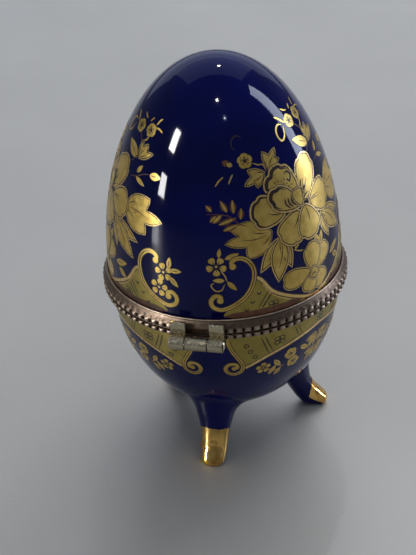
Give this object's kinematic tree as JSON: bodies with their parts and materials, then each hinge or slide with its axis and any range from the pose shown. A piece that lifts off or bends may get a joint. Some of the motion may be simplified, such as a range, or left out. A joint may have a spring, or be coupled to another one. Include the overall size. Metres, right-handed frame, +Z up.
{
  "type": "hinged trinket box",
  "caption": "Egg-shaped porcelain trinket box on splayed feet, with a domed lid hinged to a round bowl at two metal bezels.",
  "frame": {"origin": "on the surface that the feet rest on, on the axis of the egg-shaped body", "axes": "+Z up along the egg's axis, +Y towards the hinge at the back, -Y towards the clasp at the front, +X to the right as seen from the front"},
  "size_m": [0.06, 0.0676, 0.1005],
  "materials": {
    "cobalt_glaze": "very glossy deep cobalt glaze over porcelain, with fired gold decoration and gilt toes",
    "bezel_brass": "aged, browned plated brass, brighter where it is rubbed",
    "hinge_brass": "worn brass, bright on the barrel and dark in the joints",
    "cement": "dull setting cement"
  },
  "bodies": {
    "base": {"base_bowl": "cobalt_glaze", "foot_rear": "cobalt_glaze", "foot_front_left": "cobalt_glaze", "foot_front_right": "cobalt_glaze", "base_bezel": "bezel_brass", "base_cement": "cement", "base_hinge_knuckle": "hinge_brass", "hinge_pin": "hinge_brass", "clasp_stud": "hinge_brass"},
    "lid": {"lid_shell": "cobalt_glaze", "lid_bezel": "bezel_brass", "lid_cement": "cement", "lid_hinge_knuckle_left": "hinge_brass", "lid_hinge_knuckle_right": "hinge_brass", "clasp_tongue": "hinge_brass"}
  },
  "joints": [
    {"name": "lid_hinge", "type": "hinge", "parent": "base", "child": "lid", "pos_m": [0, 0.0321, 0.044], "axis": [-1, 0, 0], "range_deg": [0, 95]}
  ]
}
